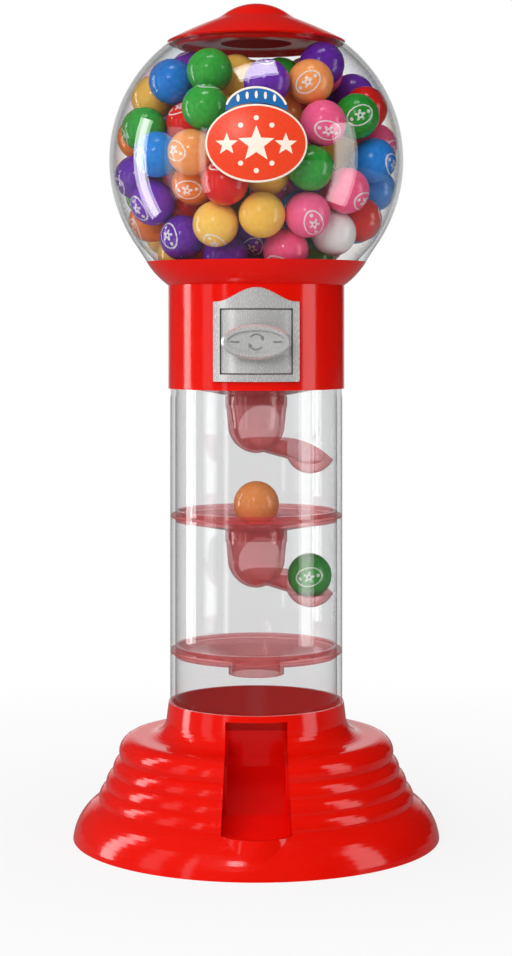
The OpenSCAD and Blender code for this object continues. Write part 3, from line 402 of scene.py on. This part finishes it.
def balls_mesh(name, centres, outward):
    """Balls at the centres. Each has its own slight tint and turn, and some carry a print."""
    verts, faces, spots, tints = [], [], [], []
    for centre in centres:
        base = len(verts)
        way = outward(centre)
        aim = Vector([d + rng.uniform(-0.75, 0.75) for d in way]).normalized()
        roll = Euler((0, 0, rng.uniform(-1.2, 1.2))).to_matrix()
        turn = aim.to_track_quat("Z", "Y").to_matrix() @ roll
        tint = rng.uniform(-0.25, 0.25)
        printed = 1.0 if rng.random() < PRINTED_SHARE else 0.0
        for v in BALL_POINTS:
            verts.append(centre + turn @ v * BALL_R)
            spots.append(v)
            tints.append((tint, printed, 0.0))
        faces += [[base + i for i in f] for f in BALL_FACES]
    mesh = bpy.data.meshes.new(name)
    mesh.from_pydata(verts, [], faces)
    for key, values in (("spot", spots), ("tint", tints)):
        layer = mesh.attributes.new(key, "FLOAT_VECTOR", "POINT")
        layer.data.foreach_set("vector", [c for value in values for c in value])
    return mesh


def from_globe(centre):
    return (centre - Vector((0, 0, GLOBE_Z))).normalized()


def to_front(centre):
    return Vector((0.5, -1, 0))


def candy_piece(name, node, colour, outward):
    """Balls with a sugar shell in place of the node's plain ones."""
    mesh = balls_mesh(node, islands(nodes[node]), outward)
    candies = piece(name, mesh, "candy_" + colour, "machine")
    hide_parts(node)


for colour in CANDY:
    candy_piece("candy_" + colour, "gumballs_" + colour, colour, from_globe)
candy_piece("candy_on_disc", "gumball_on_disc", "peach", to_front)
candy_piece("candy_on_spout", "gumball_on_spout", "green", to_front)


# ---------- Badge ----------

def on_globe(x, z, lift):
    """The point on the globe's front at x and z, lifted off the surface."""
    flat = Vector((x, 0, z - GLOBE_Z))
    y = -math.sqrt(max(GLOBE_R ** 2 - flat.length_squared, 0))
    normal = Vector((x, y, z - GLOBE_Z)).normalized()
    return Vector((0, 0, GLOBE_Z)) + normal * (GLOBE_R + lift)


def star(cx, cz, r):
    """A star with five points, one of them up."""
    outline = []
    for i in range(10):
        a = math.radians(90 + 180 * i / 5)
        k = r if i % 2 == 0 else r * 0.42
        outline.append((cx + k * math.cos(a), cz + k * math.sin(a)))
    return outline


def ellipse(a, b, cx, cz, steps=96):
    turns = [math.radians(360 * i / steps) for i in range(steps)]
    return [(cx + a * math.cos(t), cz + b * math.sin(t)) for t in turns]


def cut_into_cells(flat, outline):
    """Cuts a flat face in X and Z into cells, so that it can bend."""
    for axis, values in ((0, [p[0] for p in outline]), (2, [p[1] for p in outline])):
        low, high = min(values), max(values)
        steps = int((high - low) / TILE_CELL)
        for i in range(1, steps + 1):
            at, way = [0, 0, 0], [0, 0, 0]
            at[axis] = low + (high - low) * i / (steps + 1)
            way[axis] = 1
            bmesh.ops.bisect_plane(flat, geom=flat.verts[:] + flat.edges[:] + flat.faces[:],
                                   plane_co=at, plane_no=way)


def tile(bm, outline, low, high):
    """A tile on the globe with the outline, from lift low to lift high."""
    flat = bmesh.new()
    flat.faces.new([flat.verts.new((x, 0, z)) for x, z in outline])
    cut_into_cells(flat, outline)
    top = {v: bm.verts.new(on_globe(v.co.x, v.co.z, high)) for v in flat.verts}
    under = {v: bm.verts.new(on_globe(v.co.x, v.co.z, low)) for v in flat.verts}
    for f in flat.faces:
        bm.faces.new([top[v] for v in f.verts])
        bm.faces.new([under[v] for v in reversed(f.verts)])
    for e in flat.edges:
        if len(e.link_faces) == 1:
            a, b = e.verts
            bm.faces.new([top[a], top[b], under[b], under[a]])
    flat.free()


def tiles(name, outlines, low, high, material):
    bm = bmesh.new()
    for outline in outlines:
        tile(bm, outline, low, high)
    return flat_piece(name, bm, material, "machine")


def badge_face():
    oval = ellipse(BADGE_A - BADGE_BORDER, BADGE_B - BADGE_BORDER, 0, BADGE_Z)
    tiles("badge_face", [oval], BADGE_T - PRINT_SUNK, BADGE_T + PRINT_T, "badge_face")


def badge_stars():
    """A large star between two small ones, with dots above and below."""
    row = BADGE_Z - 0.4 * MM
    small_x, small_r = 8.7 * MM, 3.4 * MM
    marks = [star(0, row, 5.6 * MM), star(-small_x, row, small_r), star(small_x, row, small_r)]
    dot_r = 0.75 * MM
    for side in (-1, 1):
        for dx, dz in ((4.6, 5.2), (4.6, -6.0), (0, 7.4), (0, -8.2)):
            if dx or side > 0:
                marks.append(ellipse(dot_r, dot_r, side * dx * MM, BADGE_Z + dz * MM, 20))
    tiles("badge_stars", marks, BADGE_T + PRINT_T, BADGE_T + 2 * PRINT_T, "badge_label")


def crest_arc(inset):
    """Points along the crest's upper edge, moved in by this much."""
    turns = [math.radians(14 + 152 * i / 40) for i in range(41)]
    foot = BADGE_Z + CREST_FOOT
    return [((CREST_W - inset) * math.cos(a), foot + (CREST_H - inset) * math.sin(a)) for a in turns]


def crest_marks():
    """A line along the crest's edge, and five upright rays under it."""
    line = crest_arc(0.05 * MM) + crest_arc(0.65 * MM)[::-1]
    rays = [ellipse(0.45 * MM, 1.15 * MM, x * MM, BADGE_Z + (14.5 - 0.035 * x * x) * MM, 20)
            for x in (-5.4, -2.7, 0, 2.7, 5.4)]
    tiles("crest_marks", [line] + rays, BADGE_T - PRINT_SUNK, BADGE_T + PRINT_T, "badge_label")


badge_face()
badge_stars()
crest_marks()


# ---------- Handle ----------

def add_mark(bm, outline, face_y):
    """A thin flat mark on a face that looks forward, from an outline in X and Z."""
    front = [bm.verts.new((x, face_y - 0.04 * MM, z)) for x, z in outline]
    back = [bm.verts.new((x, face_y + 0.05 * MM, z)) for x, z in outline]
    bm.faces.new(front)
    bm.faces.new(back[::-1])
    for i in range(len(front)):
        k = (i + 1) % len(front)
        bm.faces.new([front[i], back[i], back[k], front[k]])


def turn_arrow(start, side):
    """A part of a ring with a head, round the handle's middle. side is 1, or -1 for half a turn on."""
    turns = [math.radians(start + 100 * i / 12) for i in range(13)]
    ring = [(2.55 * math.cos(a), 2.55 * math.sin(a)) for a in turns]
    ring += [(2.1 * math.cos(a), 2.1 * math.sin(a)) for a in reversed(turns)]
    head = [(r * math.cos(turns[0] - back), r * math.sin(turns[0] - back))
            for r, back in ((3.1, 0), (1.55, 0), (2.3, 0.55))]
    return [[(side * x * MM, SPINDLE_Z + side * z * MM) for x, z in points] for points in (ring, head)]


def turn_marks():
    """Two arrows round the handle's middle, with a bar on each side of them, as flat grey marks: painted
    shade in place of engraved grooves.
    """
    bar = ((5.2, -0.3), (8.0, -0.2), (8.0, 0.2), (5.2, 0.3))
    bars = [[(side * x * MM, SPINDLE_Z + z * MM) for x, z in bar] for side in (-1, 1)]
    bm = bmesh.new()
    for outline in turn_arrow(40, 1) + turn_arrow(40, -1) + bars:
        add_mark(bm, outline, HANDLE_Y)
    flat_piece("turn_marks", bm, "ink_and_painted_groove_shade", "dispenser")


turn_marks()


# ---------- Studio ----------

def light_path(g):
    """Where the camera sees straight or through clear plastic, and where gloss looks."""
    path = g.add("ShaderNodeLightPath").outputs
    return g.math("MAXIMUM", path["Is Camera Ray"], path["Is Transmission Ray"]), path["Is Glossy Ray"]


def make_world():
    """White to the camera. Gloss sees a dim room with a white wall behind the object, and soft light comes
    from above, from the front and from the left."""
    world = bpy.data.worlds.new("studio")
    scene.world = world
    g = Graph(world)
    seen, gloss = light_path(g)
    view = g.add("ShaderNodeTexCoord").outputs["Generated"]
    way = g.add("ShaderNodeSeparateXYZ", {"Vector": view}).outputs
    back_wall = g.spread(way["Y"], 0.02, 1.0, 0.88, 1.0)
    left_room = g.spread(way["X"], 0.12, 0.0, -1.0, 0.4)
    room = g.math("ADD", back_wall, left_room)
    soft = g.math("MULTIPLY_ADD", way["Z"], 0.27, g.math("MULTIPLY_ADD", way["Y"], -0.16, 0.46))
    soft = g.math("MAXIMUM", g.math("MULTIPLY_ADD", way["X"], -0.26, soft), 0.05)
    unseen = g.math("ADD", g.math("MULTIPLY", gloss, room),
                    g.math("MULTIPLY", g.math("SUBTRACT", 1.0, gloss), soft))
    strength = g.math("MAXIMUM", seen, unseen)
    white = g.add("ShaderNodeBackground", {"Color": (1, 1, 1, 1), "Strength": strength})
    g.add("ShaderNodeOutputWorld", {"Surface": white.outputs[0]})


def softbox(name, azimuth, elevation, distance, width, height, radiance, aim, turn=0, gloss=True):
    """A rectangular lamp, for highlights or for plain light. Azimuth 0 is in front, 90 to the right."""
    az, el = math.radians(azimuth), math.radians(elevation)
    way = Vector((math.sin(az) * math.cos(el), -math.cos(az) * math.cos(el), math.sin(el)))
    data = bpy.data.lights.new(name, "AREA")
    data.shape = "RECTANGLE"
    data.size = width
    data.size_y = height
    data.energy = radiance * width * height * math.pi
    lamp = bpy.data.objects.new(name, data)
    lamp.location = Vector(aim) + way * distance
    lamp.rotation_euler = way.to_track_quat("Z", "Y").to_euler()
    lamp.rotation_euler.rotate_axis("Z", math.radians(turn))
    lamp.visible_camera = False
    lamp.visible_diffuse = not gloss
    lamp.visible_glossy = gloss
    scene.collection.objects.link(lamp)


def make_lamps():
    """One lamp for plain light. The others are seen by gloss alone."""
    body, tube, globe = (0, 0, 0.15), (0, 0, 0.19), (0, 0, 0.216)
    softbox("key", -20, 26, 0.9, 0.45, 0.45, 5.4, body, gloss=False)
    softbox("ball highlights", -14, 20, 0.9, 0.13, 0.13, 16.0, globe)
    softbox("left strip", -98, 0, 0.4, 0.085, 0.37, 7.5, tube)
    softbox("right strip", 70, 0, 0.4, 0.14, 0.37, 3.5, tube)
    softbox("narrow strip", -40, 0, 0.45, 0.04, 0.37, 2.2, tube)
    softbox("broad strip", -64, 0, 0.45, 0.11, 0.37, 1.2, tube)
    softbox("overhead", 0, 69, 0.9, 0.4, 0.2, 7.0, globe, turn=18)


def floor_material():
    """Paper that keeps the object's shadow, and turns white away from it and dim in gloss."""
    g = material_graph("pale floor")
    seen, gloss = light_path(g)
    pale = g.mix(g.noise(30, 2), (0.8, 0.8, 0.8, 1), (0.82, 0.82, 0.82, 1))
    paper = g.add("ShaderNodeBsdfDiffuse", {"Color": pale}).outputs[0]
    dimmed = g.math("MULTIPLY_ADD", gloss, -0.78, 1.0)
    glow = g.add("ShaderNodeEmission", {"Color": (1, 1, 1, 1), "Strength": dimmed}).outputs[0]
    away = g.add("ShaderNodeVectorMath", {0: g.place()}, operation="LENGTH").outputs["Value"]
    white = g.spread(away, 0.8, 1.0, 0.05, 0.3)
    return g.finish(g.blend(g.math("MAXIMUM", g.math("MULTIPLY", seen, white), gloss), paper, glow))


def make_floor(half=4):
    mesh = bpy.data.meshes.new("floor")
    corners = [(-half, -half, 0), (half, -half, 0), (half, half, 0), (-half, half, 0)]
    mesh.from_pydata(corners, [], [(0, 1, 2, 3)])
    mesh.materials.append(floor_material())
    floor = bpy.data.objects.new("floor", mesh)
    scene.collection.objects.link(floor)


def make_camera():
    """Level with the dial, and shifted down to take in the whole machine."""
    data = bpy.data.cameras.new("camera")
    data.sensor_width = 36
    data.lens = 78.33
    data.shift_x = -0.0003
    data.shift_y = -0.16
    camera = bpy.data.objects.new("camera", data)
    camera.location = (0, -0.6685, 0.16356)
    camera.rotation_euler = (math.radians(90), 0, 0)
    scene.collection.objects.link(camera)
    scene.camera = camera


make_world()
make_lamps()
make_floor()
make_camera()
scene.view_settings.view_transform = "Standard"
scene.cycles.transparent_max_bounces = 32
